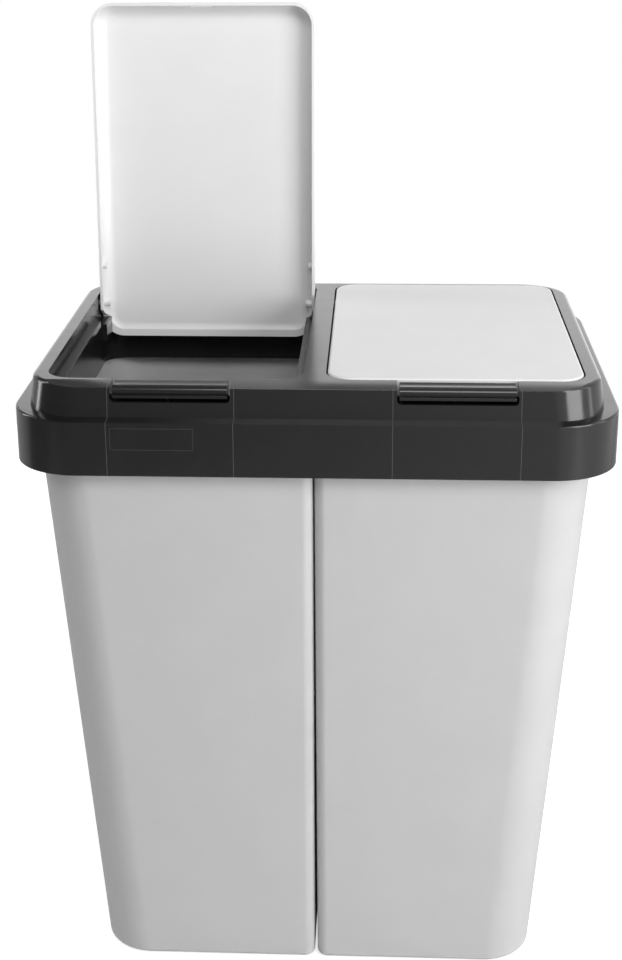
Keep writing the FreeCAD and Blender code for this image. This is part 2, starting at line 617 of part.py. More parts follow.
def make_flap(label, side, opened):
    """Make a flap in its own frame: pins on the X axis, skin up, pivot at the origin."""
    middle = signed_middle(side)
    body = new_body(label, middle, PIVOT_Y, PIVOT_Z)
    if opened:
        body.Placement.Rotation = FreeCAD.Rotation(FreeCAD.Vector(1, 0, 0), -1)
        bind(body, ".Placement.Rotation.Angle", "open_angle")
        body.Placement.Rotation.Axis = FreeCAD.Vector(-1, 0, 0)
    half_width = f"({MOUTH_WIDTH} / 2 - flap_side_gap)"
    front = f"({MOUTH_FRONT} + flap_front_gap - {PIVOT_Y})"
    rear = "(pivot_setback - flap_rear_gap)"
    top = "(pivot_drop + flap_proud)"
    foot = "(pivot_drop - rail_drop - rail_height + seat_gap)"
    corner = "(mouth_corner - flap_side_gap)"

    def outline(name, level, inset):
        """Sketch the flap's plan at one level, moved in by a wall."""
        sketch = new_sketch(body, "XY_Plane", name, level)
        add_rounded_outline(sketch, f"{inset} - {half_width}", f"{half_width} - {inset}",
                            f"{front} + {inset}", f"{rear} - {inset}",
                            (f"{corner} - {inset}",) * 4)
        return sketch

    block = pad(body, outline("flap_outline", foot, "0"), "flap_block", f"{top} - {foot}")
    fillet(body, block, flat_at(top), "flap_top_fillet", "flap_top_rounding")
    tray = pocket(body, outline("tray_outline", foot, "flap_wall"), "tray",
                  f"{top} - {foot} - flap_wall", backwards=True)
    fillet(body, tray, flat_at(f"{top} - flap_wall"), "flap_blend", "tray_blend")
    cut_flange_end(body, half_width, rear, top, foot)
    add_trunnions(body, half_width)
    add_pegs_and_slits(body, half_width)
    cut_catch_window(body, side, front)
    return body


def cut_flange_end(body, half_width, rear, top, foot):
    """Slant the side flanges behind the pivot and leave a shallow lip at the back."""
    lip = f"({top} - flap_rear_lip)"
    start = "(trunnion_diameter / 2 + flap_wall)"
    sketch = new_sketch(body, "YZ_Plane", "flange_end_outline")
    beyond = f"({rear} + flap_wall)"
    below = f"({foot} - flap_wall)"
    add_outline(sketch, ((start, below), (start, foot), (f"{start} + flap_end_slope", lip),
                         (beyond, lip), (beyond, below)))
    pocket(body, sketch, "flange_end_cut", f"2 * {half_width} + flap_wall", both_ways=True)


def add_trunnions(body, half_width):
    """Add the pivot pins outside the flanges and their bosses inside."""
    for name, start in (("left", f"-({half_width} + trunnion_reach)"),
                        ("right", f"{half_width} - flap_wall - trunnion_boss")):
        sketch = new_sketch(body, "YZ_Plane", f"{name}_trunnion_outline", start)
        add_circle(sketch, "0", "0", "trunnion_diameter / 2")
        pad(body, sketch, f"{name}_trunnion", "trunnion_reach + flap_wall + trunnion_boss")


def add_pegs_and_slits(body, half_width):
    """Add the peg inside each side flange and cut the slit in front of it."""
    for name, start in (("left", f"flap_wall / 2 - {half_width}"),
                        ("right", f"{half_width} - flap_wall - peg_reach")):
        sketch = new_sketch(body, "YZ_Plane", f"{name}_peg_outline", start)
        add_circle(sketch, "-peg_setback", "0", "peg_radius")
        pad(body, sketch, f"{name}_peg", "peg_reach + flap_wall / 2")
    slit = new_sketch(body, "YZ_Plane", "slit_outline")
    rear = "(-slit_setback)"
    front = "(-slit_setback - slit_length)"
    top = "(slit_height / 2)"
    foot = "(-slit_height / 2)"
    add_outline(slit, ((front, foot), (rear, foot), (rear, top), (front, top)))
    pocket(body, slit, "slits", f"2 * {half_width} + flap_wall", both_ways=True)


def cut_catch_window(body, side, front):
    """Cut the window in the front flange that the latch's nose reaches into."""
    shift = "notch_shift" if side > 0 else "-notch_shift"
    half = "(nose_width / 2 + window_clearance)"
    foot = f"({NOSE_FOOT} - seat_gap)"
    sketch = new_sketch(body, "XZ_Plane", "catch_window_outline", f"-({front} + flap_wall * 2)")
    top = f"({foot} + {WINDOW_HEIGHT})"
    add_outline(sketch, ((f"{shift} - {half}", foot), (f"{shift} + {half}", foot),
                         (f"{shift} + {half}", top), (f"{shift} - {half}", top)))
    pocket(body, sketch, "catch_window", "flap_wall * 3", backwards=True)


# --- latches ----------------------------------------------------------------

def make_latch(label, side):
    """Make a push latch in its own frame: pins on the X axis, pivot at the origin."""
    middle = LATCH_X if side > 0 else f"-{LATCH_X}"
    body = new_body(label, middle, LATCH_PIVOT_Y, LATCH_PIVOT_Z)
    back = "(latch_pivot_setback - latch_rear_gap)"
    front = f"(latch_front_inset - collar_depth / 2 - {LATCH_PIVOT_Y})"
    top = "(latch_pivot_drop - latch_top_drop)"
    groove_top = "(latch_pivot_drop - latch_nose)"
    groove_foot = f"({groove_top} - latch_groove)"
    groove_end = f"({front} + latch_groove_depth)"
    bar_foot = f"({groove_foot} - latch_bar)"
    inner_front = f"({groove_end} + latch_wall)"
    inner_top = f"({top} - latch_wall)"
    inner_back = f"({back} - latch_wall)"
    back_foot = f"({top} - latch_back)"
    skin = new_sketch(body, "YZ_Plane", "skin_outline")
    add_outline(skin, (
        (back, back_foot), (back, top), (front, top), (front, groove_top),
        (groove_end, groove_top), (groove_end, groove_foot), (front, groove_foot),
        (front, bar_foot), (inner_front, bar_foot), (inner_front, inner_top),
        (inner_back, inner_top), (inner_back, back_foot)))
    block = pad(body, skin, "skin", LATCH_WIDTH, both_ways=True)

    def front_top_edge(box):
        """Pick the long edge where the latch's top meets its front."""
        level = abs(box.ZMin - number_of(top)) + abs(box.ZMax - number_of(top))
        return level < 1e-4 and abs(box.YMax - number_of(front)) < 1e-4

    fillet(body, block, front_top_edge, "latch_nose_fillet", "nose_rounding")
    for name, place, radius, depth in (
            ("grip", f"{front} + grip_setback", "grip_radius", "grip_depth"),
            ("thumb_rest", f"{back} - dish_setback", "dish_radius", "dish_depth")):
        sketch = new_sketch(body, "YZ_Plane", f"{name}_outline")
        add_circle(sketch, place, f"{top} + {radius} - {depth}", radius)
        pocket(body, sketch, name, f"2 * {LATCH_WIDTH}", both_ways=True)
    for name, start in (("left", f"-({LATCH_WIDTH} / 2)"),
                        ("right", f"{LATCH_WIDTH} / 2 - latch_wall")):
        add_latch_end(body, name, start, inner_front, inner_back, inner_top, bar_foot, back_foot)
    add_latch_nose(body, inner_back)
    boss = new_sketch(body, "XY_Plane", "spring_boss_outline", f"{inner_top} - spring_stud_height")
    add_circle(boss, "0", "latch_pivot_setback - spring_setback", "spring_stud")
    pad(body, boss, "spring_boss", "spring_stud_height + latch_wall / 2")
    return body


def add_latch_end(body, name, start, inner_front, inner_back, inner_top, bar_foot, back_foot):
    """Close one end of the latch with a web: ear, pin and the heel that stops it."""
    web = new_sketch(body, "YZ_Plane", f"{name}_web_outline", start)
    half_wall = "latch_wall / 2"
    heel_foot = "(latch_pivot_drop + stop_gap - pocket_drop)"
    add_outline(web, (
        (inner_front, bar_foot), ("-latch_ear", "0"), ("0", heel_foot),
        ("latch_ear - latch_wall / 4", heel_foot),
        (f"{inner_back} + {half_wall}", back_foot),
        (f"{inner_back} + {half_wall}", f"{inner_top} + {half_wall}"),
        (inner_front, f"{inner_top} + {half_wall}")))
    pad(body, web, f"{name}_web", "latch_wall")
    ear = new_sketch(body, "YZ_Plane", f"{name}_ear_outline", start)
    add_circle(ear, "0", "0", "latch_ear")
    pad(body, ear, f"{name}_ear", "latch_wall")
    reach = "(latch_gap + latch_pin_hold)"
    pin_start = f"{start} - {reach}" if name == "left" else start
    pin = new_sketch(body, "YZ_Plane", f"{name}_pin_outline", pin_start)
    add_circle(pin, "0", "0", "latch_pin_diameter / 2")
    pad(body, pin, f"{name}_pin", f"latch_wall + {reach}")


def add_latch_nose(body, inner_back):
    """Add the nose on the latch's back that holds the closed flap down."""
    foot = "(latch_pivot_drop - nose_drop)"
    sketch = new_sketch(body, "YZ_Plane", "catch_nose_outline")
    start = f"({inner_back} + latch_wall / 2)"
    top = f"({foot} + nose_thickness)"
    add_outline(sketch, ((start, foot), (NOSE_REACH, foot),
                         (NOSE_REACH, f"{foot} + nose_thickness / 2"),
                         (f"{NOSE_REACH} - nose_thickness / 2", top), (start, top)))
    pad(body, sketch, "catch_nose", "nose_width", both_ways=True)


# --- latch springs ----------------------------------------------------------

def make_spring(label, side):
    """Make the coil spring that lifts a latch's front: one wire, swept along a helix."""
    height = "(pocket_drop - latch_top_drop - latch_wall - 2 * seat_gap - spring_wire)"
    coil = document.addObject("Part::Helix", f"{label}_coil")
    bind(coil, "Radius", "spring_diameter / 2")
    bind(coil, "Height", height)
    bind(coil, "Pitch", f"{height} / spring_turns")
    wire = document.addObject("Part::RegularPolygon", f"{label}_wire")
    wire.Polygon = 6
    bind(wire, "Circumradius", "spring_wire / 2")
    wire.Placement.Rotation = FreeCAD.Rotation(FreeCAD.Vector(1, 0, 0), 90)
    bind(wire, ".Placement.Base.x", "spring_diameter / 2")
    spring = document.addObject("Part::Sweep", label)
    spring.Label = label
    spring.Sections = [wire]
    spring.Spine = (coil, [])
    spring.Solid = True
    spring.Frenet = True
    bind(spring, ".Placement.Base.x", LATCH_X if side > 0 else f"-{LATCH_X}")
    bind(spring, ".Placement.Base.y", SPRING_Y)
    bind(spring, ".Placement.Base.z", "rim_height - pocket_drop + seat_gap + spring_wire / 2")
    return spring


def check_and_export(parts):
    """Stop on any failed object or bad shape, then write one file per part."""
    document.recompute()
    failed = [item.Name for item in document.Objects
              if "Invalid" in item.State or "Error" in item.State]
    if failed:
        raise RuntimeError(f"failed objects: {failed}")
    for part in parts:
        if part.Shape.isNull() or not part.Shape.isValid() or not part.Shape.Solids:
            raise RuntimeError(f"bad shape: {part.Label}")
    os.makedirs("parts", exist_ok=True)
    for part in parts:
        part.Shape.exportStep(f"parts/{part.Label}.step")
        print(part.Label, len(part.Shape.Solids), round(part.Shape.Volume / 1000, 1), "cm3")


def main():
    """Build every part in order and write the files."""
    parts = []
    for name, side in SIDES:
        parts.append(make_tub(f"{name}_tub", side))
    parts.append(make_collar())
    for name, side in SIDES:
        parts.append(make_flap(f"{name}_flap", side, opened=side < 0))
    for name, side in SIDES:
        parts.append(make_latch(f"{name}_latch", side))
        parts.append(make_spring(f"{name}_latch_spring", side))
    check_and_export(parts)


main()
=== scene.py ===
"""Looks of a double recycling bin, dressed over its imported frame.

Two pale tapered tubs stand side by side under one dark collar.  The collar carries two
pale flaps, hinged at the back, and two dark push latches at the front.  Sizes are metres,
+Z is up, -Y is the front and the floor is at Z = 0.
"""

import logging
import math
from dataclasses import dataclass
from enum import Enum

import bmesh
import bpy
from mathutils import Euler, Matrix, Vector


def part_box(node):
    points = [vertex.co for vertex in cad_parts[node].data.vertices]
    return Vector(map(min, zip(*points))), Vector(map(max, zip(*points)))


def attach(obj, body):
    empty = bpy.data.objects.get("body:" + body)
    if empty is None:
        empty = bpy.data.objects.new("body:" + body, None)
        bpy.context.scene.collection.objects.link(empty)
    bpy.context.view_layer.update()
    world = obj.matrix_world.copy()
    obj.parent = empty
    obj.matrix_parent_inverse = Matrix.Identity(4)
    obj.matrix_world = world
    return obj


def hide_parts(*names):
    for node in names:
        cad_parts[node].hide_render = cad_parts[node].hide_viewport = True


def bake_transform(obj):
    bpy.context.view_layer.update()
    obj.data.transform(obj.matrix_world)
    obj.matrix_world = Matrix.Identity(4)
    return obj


LOG = logging.getLogger("bin")
MM = 0.001

Socket = bpy.types.NodeSocket
Tree = bpy.types.NodeTree
Span = tuple[float, float]


class Side(Enum):
    """The two halves of the bin, by the sign of their place on X."""

    LEFT = -1
    RIGHT = 1

    @property
    def word(self) -> str:
        """Give the side's name as the frame's nodes use it."""
        return self.name.lower()


# --- colours and nodes --------------------------------------------------------


def linear(colour: str) -> tuple[float, float, float, float]:
    """Turn an sRGB hex colour into linear values.

    Args:
        colour: Six hex digits, with or without a leading hash.

    Returns:
        Linear red, green, blue and an alpha of one.
    """
    digits = colour.lstrip("#")
    parts = [int(digits[index:index + 2], 16) / 255 for index in (0, 2, 4)]
    red, green, blue = (part / 12.92 if part <= 0.04045 else ((part + 0.055) / 1.055) ** 2.4
                        for part in parts)
    return red, green, blue, 1.0


def add_node(tree: Tree, kind: str, inputs: dict | None = None,
             **settings: object) -> bpy.types.Node:
    """Add a node with its settings, values and links.

    Args:
        tree: The tree that gets the node.
        kind: The node's type.
        inputs: Values or output sockets by input name or number.
        **settings: The node's own properties.

    Returns:
        The new node.
    """
    node = tree.nodes.new(kind)
    for name, value in settings.items():
        setattr(node, name, value)
    for key, value in (inputs or {}).items():
        if isinstance(value, Socket):
            tree.links.new(value, node.inputs[key])
        else:
            node.inputs[key].default_value = value
    return node


def maths(tree: Tree, operation: str, *values: Socket | float) -> Socket:
    """Work one operation on values or sockets."""
    return add_node(tree, "ShaderNodeMath", dict(enumerate(values)),
                    operation=operation).outputs[0]


def mix_values(tree: Tree, share: Socket, first: Socket | float,
               second: Socket | float) -> Socket:
    """Mix two values, which are the Mix node's inputs 2 and 3 and its output 0."""
    return add_node(tree, "ShaderNodeMix", {0: share, 2: first, 3: second}).outputs[0]


def mix_colours(tree: Tree, share: Socket, first: Socket | tuple,
                second: Socket | tuple) -> Socket:
    """Mix two colours, which are the Mix node's inputs 6 and 7 and its output 2."""
    return add_node(tree, "ShaderNodeMix", {0: share, 6: first, 7: second},
                    data_type="RGBA").outputs[2]


def remap(tree: Tree, value: Socket, span: Span, target: Span = (0.0, 1.0),
          curve: str = "LINEAR") -> Socket:
    """Map a value from one span to another, held at both ends.

    Args:
        tree: The tree that gets the node.
        value: The value to map.
        span: Where the value starts and stops to count.
        target: The results at the span's two ends.
        curve: The way between them, as the node names it.

    Returns:
        The mapped value.
    """
    return add_node(tree, "ShaderNodeMapRange",
                    {"Value": value, "From Min": span[0], "From Max": span[1],
                     "To Min": target[0], "To Max": target[1]},
                    interpolation_type=curve).outputs[0]


def beyond(tree: Tree, place: Socket, middle: float, half: float) -> Socket:
    """Measure how far a coordinate lies outside a span, negative inside it."""
    away = maths(tree, "ABSOLUTE", maths(tree, "SUBTRACT", place, middle))
    return maths(tree, "SUBTRACT", away, half)


def relief(tree: Tree, height: Socket, depth: float, strength: float = 1.0,
           under: Socket | None = None) -> Socket:
    """Raise a pattern in the shading.

    Args:
        tree: The material's tree.
        height: The pattern, from nought to one.
        depth: The height of a one, in metres.
        strength: The share of the relief that is shown.
        under: The normal of a relief that lies below, if there is one.

    Returns:
        The normal with the relief in it.
    """
    inputs = {"Height": height, "Strength": strength, "Distance": depth}
    if under is not None:
        inputs["Normal"] = under
    return add_node(tree, "ShaderNodeBump", inputs).outputs["Normal"]


def blank_material(name: str) -> bpy.types.Material:
    """Make a material whose node tree is empty."""
    material = bpy.data.materials.new(name)
    material.use_nodes = True
    material.node_tree.nodes.clear()
    return material


# --- finishes -----------------------------------------------------------------


@dataclass(frozen=True)
class Noise:
    """One noise pattern: the size of its features, its octaves and how much they add."""

    size_mm: float
    detail: float
    rough: float = 0.5

    def build(self, tree: Tree, place: Socket) -> Socket:
        """Add the pattern on the given coordinates, in metres."""
        return add_node(tree, "ShaderNodeTexNoise",
                        {"Vector": place, "Scale": 1.0 / (self.size_mm * MM),
                         "Detail": self.detail, "Roughness": self.rough}).outputs["Fac"]


@dataclass(frozen=True)
class InsertMarks:
    """Fine lines that the tool's inserts leave on a moulding's front wall.

    One line stands on each side of both latches, and a fainter one runs round a bare plate.
    Each line is a proud relief, and its lighter tone is a painted highlight.
    """

    latch_x: float = 99.4 * MM
    latch_half: float = 44.3 * MM
    plate_x: float = -112.0 * MM
    plate_half_x: float = 29.0 * MM
    plate_z: float = 451.8 * MM
    plate_half_z: float = 7.8 * MM
    plate_share: float = 0.45
    front_y: float = -147.0 * MM
    line: float = 0.3 * MM
    depth: float = 0.05 * MM
    strength: float = 0.5
    # The lines' lighter grey is a painted highlight for the light that their edges catch.
    colour: str = "#4A4A4C"

    def band(self, tree: Tree, distance: Socket, share: float) -> Socket:
        """Turn a signed distance from a line into the line's strength, at most the share."""
        away = maths(tree, "ABSOLUTE", distance)
        return remap(tree, away, (self.line / 2, self.line), (share, 0.0))

    def build(self, tree: Tree, place: Socket) -> Socket:
        """Draw the lines beside both latches and the bare plate's outline.

        Args:
            tree: The material's tree.
            place: Object coordinates.

        Returns:
            A socket with the lines' strength, from nought to one.
        """
        across, along, up = add_node(tree, "ShaderNodeSeparateXYZ", {0: place}).outputs
        past_latch = beyond(tree, maths(tree, "ABSOLUTE", across), self.latch_x,
                            self.latch_half)
        past_plate = maths(tree, "MAXIMUM",
                           beyond(tree, across, self.plate_x, self.plate_half_x),
                           beyond(tree, up, self.plate_z, self.plate_half_z))
        lines = maths(tree, "MAXIMUM", self.band(tree, past_latch, 1.0),
                      self.band(tree, past_plate, self.plate_share))
        front = maths(tree, "LESS_THAN", along, self.front_y)
        return maths(tree, "MULTIPLY", lines, front)


@dataclass(frozen=True)
class MouldedPolypropylene:
    """Polypropylene, injection moulded in a spark-eroded tool.

    The eye sees an even fine grain under a soft gloss, walls that sink a little between
    their corners, faint flow clouding in the colour, and rubbed patches.
    """

    name: str
    colour: str
    cloud_colour: str
    roughness: float
    rub_amount: float
    sink_depth_mm: float
    grain_depth_mm: float = 0.012
    glow_share: float = 0.0
    glow_depth_mm: float = 3.5
    marks_and_highlight: InsertMarks | None = None
    cloud: Noise = Noise(45.0, 3.0, 0.55)
    cloud_span: Span = (0.35, 0.65)
    rub: Noise = Noise(14.0, 5.0, 0.65)
    rub_span: Span = (0.3, 0.7)
    sink: Noise = Noise(70.0, 1.0, 0.4)
    grain: Noise = Noise(0.9, 2.0, 0.6)
    refraction: float = 1.49

    def build(self) -> bpy.types.Material:
        """Make the material.

        Returns:
            A material whose patterns are sized in millimetres on Object coordinates.
        """
        material = blank_material(self.name)
        tree = material.node_tree
        place = add_node(tree, "ShaderNodeTexCoord").outputs["Object"]
        # Pigment drifts with the melt's flow: slow clouds between two near tones.
        cloud = remap(tree, self.cloud.build(tree, place), self.cloud_span)
        tone = mix_colours(tree, cloud, linear(self.colour), linear(self.cloud_colour))
        # Hands polish some patches and dull others, a centimetre or so across.
        rub = remap(tree, self.rub.build(tree, place), self.rub_span,
                    (self.roughness - self.rub_amount, self.roughness + self.rub_amount))
        # Broad walls sink by a few hundredths of a millimetre as they cool.
        normal = relief(tree, self.sink.build(tree, place), self.sink_depth_mm * MM)
        # The tool's spark-eroded grain, drawn a little coarse so that it shows.
        normal = relief(tree, self.grain.build(tree, place), self.grain_depth_mm * MM,
                        under=normal)
        if self.marks_and_highlight:
            # An insert's edge leaves a fine proud line; its lighter tone is a painted
            # highlight.
            lines = self.marks_and_highlight.build(tree, place)
            tone = mix_colours(tree, lines, tone, linear(self.marks_and_highlight.colour))
            normal = relief(tree, lines, self.marks_and_highlight.depth, self.marks_and_highlight.strength, normal)
        # Light wanders a few millimetres in pale plastic, so thin walls let some through.
        shader = add_node(tree, "ShaderNodeBsdfPrincipled",
                          {"Base Color": tone, "Roughness": rub, "Normal": normal,
                           "IOR": self.refraction, "Subsurface Weight": self.glow_share,
                           "Subsurface Radius": (1.0, 1.0, 1.0),
                           "Subsurface Scale": self.glow_depth_mm * MM})
        add_node(tree, "ShaderNodeOutputMaterial", {"Surface": shader.outputs[0]})
        return material


@dataclass(frozen=True)
class SpringSteel:
    """Zinc-plated spring wire: dull silver, with fine drawing lines and clouded plating."""

    name: str
    colour: str
    stain: str
    roughness: float
    rough_spread: float = 0.08
    streak: Noise = Noise(0.15, 2.0)
    cloud: Noise = Noise(3.0, 3.0)

    def build(self) -> bpy.types.Material:
        """Make the material.

        Returns:
            A metal with fine streaks and clouded plating.
        """
        material = blank_material(self.name)
        tree = material.node_tree
        place = add_node(tree, "ShaderNodeTexCoord").outputs["Object"]
        tone = mix_colours(tree, self.cloud.build(tree, place), linear(self.colour),
                           linear(self.stain))
        rough = remap(tree, self.streak.build(tree, place), (0.0, 1.0),
                      (self.roughness - self.rough_spread, self.roughness + self.rough_spread))
        shader = add_node(tree, "ShaderNodeBsdfPrincipled",
                          {"Base Color": tone, "Metallic": 1.0, "Roughness": rough})
        add_node(tree, "ShaderNodeOutputMaterial", {"Surface": shader.outputs[0]})
        return material


TUB_PLASTIC = MouldedPolypropylene("pale_grey_polypropylene_tub", "#C4C4C4", "#C2C2C2", 0.42,
                                   rub_amount=0.015, sink_depth_mm=0.03, glow_share=0.45)
FLAP_PLASTIC = MouldedPolypropylene("pale_grey_polypropylene_flap", "#EDEDED", "#EBEBEB", 0.36,
                                    rub_amount=0.02, sink_depth_mm=0.02)
COLLAR_PLASTIC = MouldedPolypropylene("anthracite_polypropylene", "#1E1E1F", "#1C1C1D", 0.18,
                                      rub_amount=0.03, sink_depth_mm=0.03,
                                      grain_depth_mm=0.003, marks_and_highlight=InsertMarks())
LATCH_PLASTIC = MouldedPolypropylene("anthracite_polypropylene_latch", "#1E1E1F", "#1C1C1D",
                                     0.18, rub_amount=0.03, sink_depth_mm=0.02,
                                     grain_depth_mm=0.003)
PLATED_WIRE = SpringSteel("zinc_plated_spring_wire", "#ABAAA5", "#8F8C82", 0.35)


# --- meshes -------------------------------------------------------------------


@dataclass(frozen=True)
class MouldEdge:
    """How a mould leaves an edge: a hair's breadth of rounding.

    Edges that turn by more than the angle are rounded.  Of the edges after that, those
    that turn by more than crisp don't shade into each other.
    """

    width: float
    steps: int = 2
    angle: float = math.radians(32)
    crisp: float = math.radians(38)


def plain_mesh(source: bpy.types.Object, name: str) -> bpy.types.Object:
    """Turn an object with live modifiers into one plain mesh object.

    Args:
        source: The object to convert; it is removed.
        name: The new piece's name.

    Returns:
        The new piece, at the origin.
    """
    graph = bpy.context.evaluated_depsgraph_get()
    mesh = bpy.data.meshes.new_from_object(source.evaluated_get(graph))
    mesh.name = name
    bpy.data.objects.remove(source)
    piece = bpy.data.objects.new(name, mesh)
    bpy.context.scene.collection.objects.link(piece)
    return piece


def smooth(piece: bpy.types.Object, crisp: float) -> None:
    """Shade a mesh smoothly, but not across edges that turn by more than crisp."""
    for face in piece.data.polygons:
        face.use_smooth = True
    piece.data.set_sharp_from_angle(angle=crisp)


def moulded_copy(node: bpy.types.Object, name: str, edge: MouldEdge,
                 finish: bpy.types.Material) -> bpy.types.Object:
    """Copy a CAD node as one welded skin whose sharp edges are softened.

    Args:
        node: The CAD node.
        name: The new piece's name.
        edge: The rounding of its edges.
        finish: Its material.

    Returns:
        The finished piece, in the node's place.
    """
    weld = 0.002 * MM
    flat = math.radians(0.3)
    mesh = node.data.copy()
    shape = bmesh.new()
    shape.from_mesh(mesh)
    bmesh.ops.remove_doubles(shape, verts=shape.verts, dist=weld)
    bmesh.ops.dissolve_limit(shape, angle_limit=flat, verts=shape.verts, edges=shape.edges,
                             use_dissolve_boundaries=False)
    shape.to_mesh(mesh)
    shape.free()
    mesh.materials.clear()
    mesh.materials.append(finish)
    source = bpy.data.objects.new(name + "_source", mesh)
    bpy.context.scene.collection.objects.link(source)
    rounding = source.modifiers.new("edges", "BEVEL")
    rounding.width = edge.width
    rounding.segments = edge.steps
    rounding.limit_method = "ANGLE"
    rounding.angle_limit = edge.angle
    rounding.use_clamp_overlap = True
    rounded = plain_mesh(source, name + "_rounded")
    smooth(rounded, edge.crisp)
    # Large flat walls keep their own direction, so they don't shade towards a corner.
    shading = rounded.modifiers.new("shading", "WEIGHTED_NORMAL")
    shading.keep_sharp = True
    piece = plain_mesh(rounded, name)
    LOG.info("%s: %d faces", name, len(piece.data.polygons))
    return piece


@dataclass(frozen=True)
class Coil:
    """The sizes of a coil spring, to the middle of its wire."""

    radius: float
    height: float
    wire: float
    turns: float


COIL_STEPS = 40
WIRE_SIDES = 12
WIRE_CRISP = math.radians(50)
# The shares of the height between which the wire climbs; its end turns lie flat.
CLIMB = (0.08, 0.92)


def coil_tree() -> Tree:
    """Build the tree that winds a spring whose end turns lie closed.

    Returns:
        A geometry node tree with the spring's sizes as inputs.
    """
    tree = bpy.data.node_groups.new("wind_spring", "GeometryNodeTree")
    for name, kind in (("Radius", "NodeSocketFloat"), ("Height", "NodeSocketFloat"),
                       ("Wire", "NodeSocketFloat"), ("Turns", "NodeSocketFloat"),
                       ("Foot", "NodeSocketVector"), ("Finish", "NodeSocketMaterial")):
        tree.interface.new_socket(name=name, in_out="INPUT", socket_type=kind)
    tree.interface.new_socket(name="Geometry", in_out="OUTPUT",
                              socket_type="NodeSocketGeometry")
    size = add_node(tree, "NodeGroupInput").outputs
    helix = add_node(tree, "GeometryNodeCurveSpiral",
                     {"Resolution": COIL_STEPS, "Rotations": size["Turns"],
                      "Start Radius": size["Radius"], "End Radius": size["Radius"],
                      "Height": size["Height"]})
    place = add_node(tree, "GeometryNodeInputPosition").outputs[0]
    across, along, up = add_node(tree, "ShaderNodeSeparateXYZ", {0: place}).outputs
    share = remap(tree, maths(tree, "DIVIDE", up, size["Height"]), CLIMB)
    lifted = add_node(tree, "ShaderNodeCombineXYZ",
                      {0: across, 1: along, 2: maths(tree, "MULTIPLY", share, size["Height"])})
    moved = add_node(tree, "GeometryNodeSetPosition",
                     {"Geometry": helix.outputs[0], "Position": lifted.outputs[0]})
    round_wire = add_node(tree, "GeometryNodeCurvePrimitiveCircle",
                          {"Resolution": WIRE_SIDES, "Radius": size["Wire"]})
    body = add_node(tree, "GeometryNodeCurveToMesh",
                    {"Curve": moved.outputs[0], "Profile Curve": round_wire.outputs[0],
                     "Fill Caps": True})
    put = add_node(tree, "GeometryNodeTransform",
                   {"Geometry": body.outputs[0], "Translation": size["Foot"]})
    real = add_node(tree, "GeometryNodeRealizeInstances", {"Geometry": put.outputs[0]})
    coated = add_node(tree, "GeometryNodeSetMaterial",
                      {"Geometry": real.outputs[0], "Material": size["Finish"]})
    add_node(tree, "NodeGroupOutput", {0: coated.outputs[0]})
    return tree


def wind_coil(name: str, coil: Coil, foot: Vector,
              steel: bpy.types.Material) -> bpy.types.Object:
    """Wind one spring and keep it as a plain mesh.

    Args:
        name: The new piece's name.
        coil: Its sizes.
        foot: The middle of its lowest turn.
        steel: Its material.

    Returns:
        The spring, smooth shaded.
    """
    values = {"Radius": coil.radius, "Height": coil.height, "Wire": coil.wire,
              "Turns": coil.turns, "Foot": foot, "Finish": steel}
    source = bpy.data.objects.new(name + "_source", bpy.data.meshes.new(name + "_source"))
    bpy.context.scene.collection.objects.link(source)
    winding = source.modifiers.new("wind", "NODES")
    winding.node_group = bpy.data.node_groups.get("wind_spring") or coil_tree()
    for item in winding.node_group.interface.items_tree:
        if item.in_out == "INPUT":
            winding[item.identifier] = values[item.name]
    piece = plain_mesh(source, name)
    smooth(piece, WIRE_CRISP)
    LOG.info("%s: %d faces", name, len(piece.data.polygons))
    return piece


# --- sub-assemblies -----------------------------------------------------------


@dataclass
class Tub:
    """One pale tub: tapered walls, foot ring and the flange that the collar hides."""

    side: Side
    edge: MouldEdge = MouldEdge(0.5 * MM)

    def dress(self, nodes: dict, finish: bpy.types.Material) -> None:
        """Replace the tub's node with a softened copy.

        Args:
            nodes: The frame's nodes.
            finish: The tub's plastic.
        """
        node = f"{self.side.word}_tub"
        piece = moulded_copy(nodes[node], f"{node}_shell", self.edge, finish)
        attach(piece, "tubs")
        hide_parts(node)


@dataclass
class Collar:
    """The dark moulding over both tubs, with its mouths, chutes and latch pockets."""

    edge: MouldEdge = MouldEdge(0.3 * MM)

    def dress(self, nodes: dict, finish: bpy.types.Material) -> None:
        """Replace the collar's node with a softened copy.

        Args:
            nodes: The frame's nodes.
            finish: The collar's plastic.
        """
        piece = moulded_copy(nodes["collar"], "collar_shell", self.edge, finish)
        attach(piece, "collar")
        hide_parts("collar")


@dataclass
class Flap:
    """One pale lid: a shallow tray with pins at its back."""

    side: Side
    edge: MouldEdge = MouldEdge(0.3 * MM)

    def dress(self, nodes: dict, finish: bpy.types.Material) -> None:
        """Replace the flap's node with a softened copy.

        Args:
            nodes: The frame's nodes.
            finish: The flap's plastic.
        """
        node = f"{self.side.word}_flap"
        piece = moulded_copy(nodes[node], f"{node}_shell", self.edge, finish)
        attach(piece, node)
        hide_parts(node)


